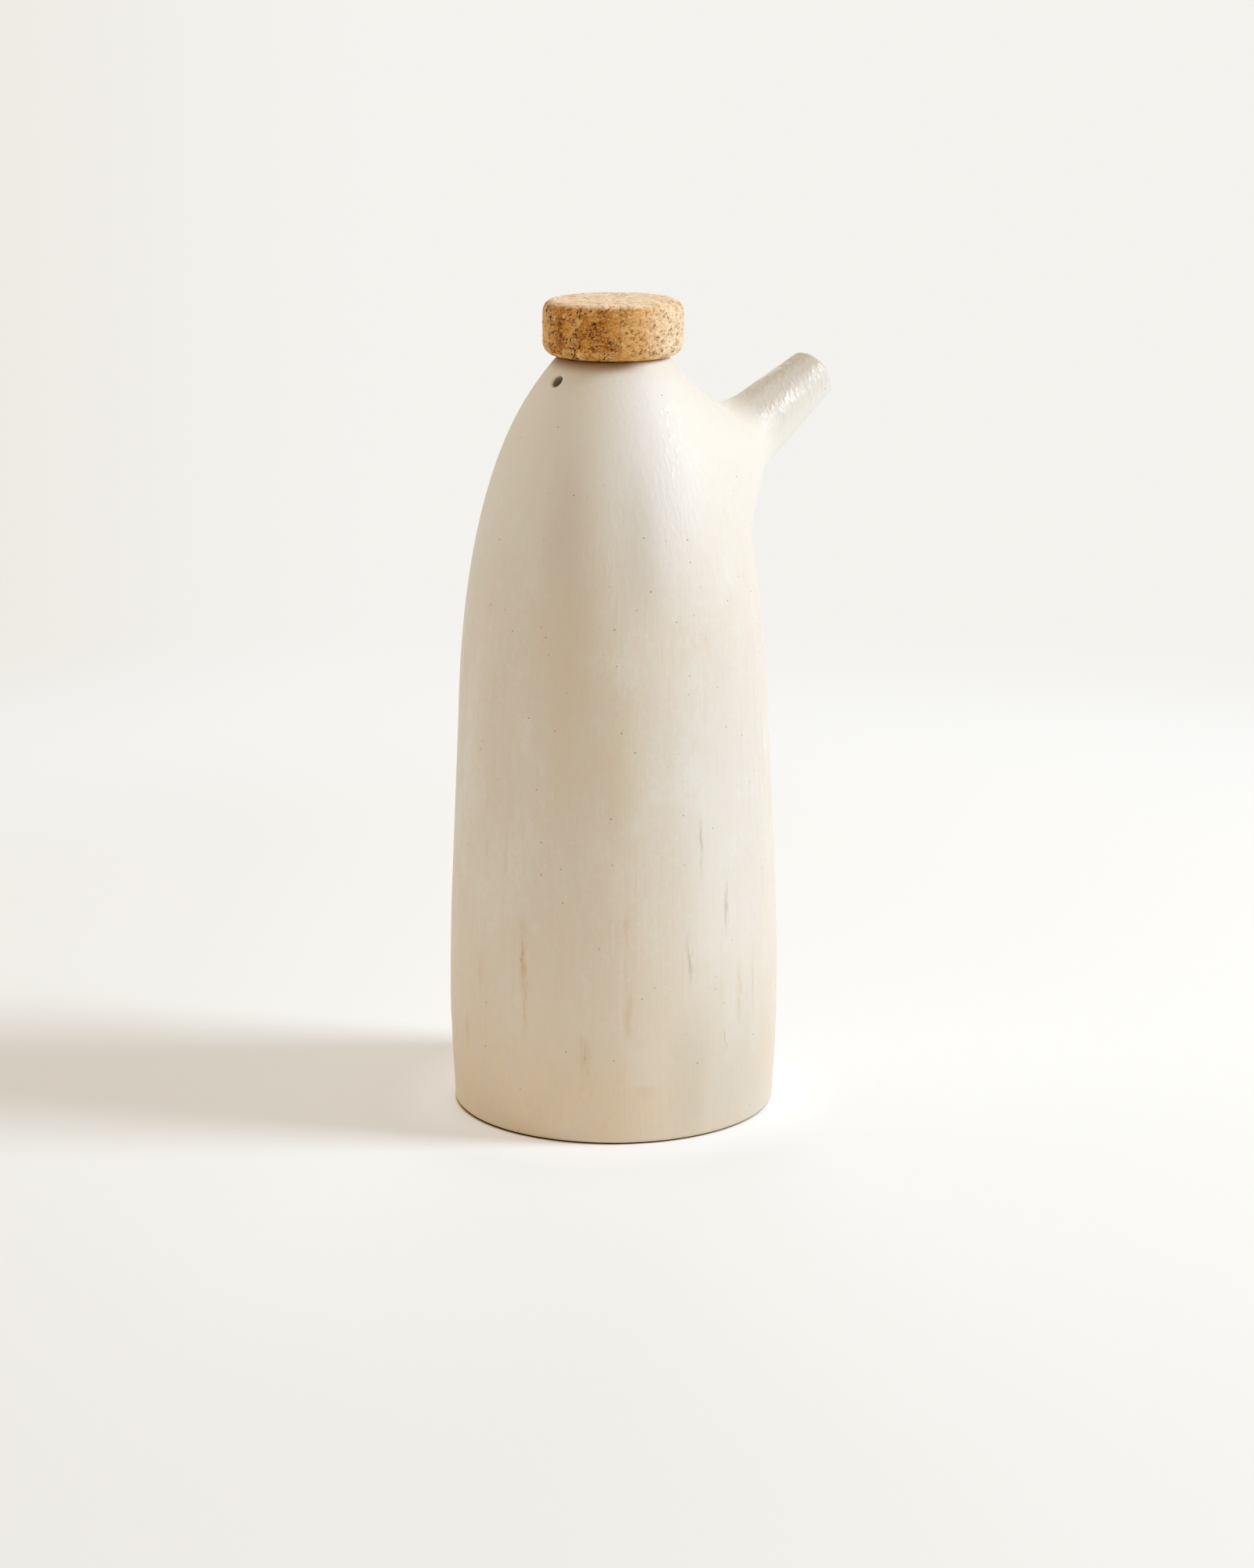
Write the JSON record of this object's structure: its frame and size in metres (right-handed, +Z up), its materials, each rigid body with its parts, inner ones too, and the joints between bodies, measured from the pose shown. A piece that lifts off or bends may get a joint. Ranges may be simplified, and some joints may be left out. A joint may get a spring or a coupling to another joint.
{
  "type": "oil and vinegar bottle",
  "caption": "Hand-thrown stoneware oil bottle with a domed shoulder, a tapered side spout, a small breathing hole and a lift-out cork stopper.",
  "frame": {"origin": "middle of the flat foot, on the surface that the bottle stands on", "axes": "+Z up along the bottle's axis, +X the way the spout points, +Y to the left of the spout"},
  "size_m": [0.1072, 0.0812, 0.1992],
  "materials": {
    "bottle": "satin cream glaze over buff stoneware, bare clay at the foot",
    "cork_stopper": "bare pressed cork"
  },
  "bodies": {
    "bottle": {"bottle": "bottle"},
    "stopper": {"cork_stopper": "cork_stopper"}
  },
  "joints": [
    {"name": "stopper_lift", "type": "slide", "parent": "bottle", "child": "stopper", "axis": [0, 0, 1], "range_m": [0, 0.06]}
  ]
}
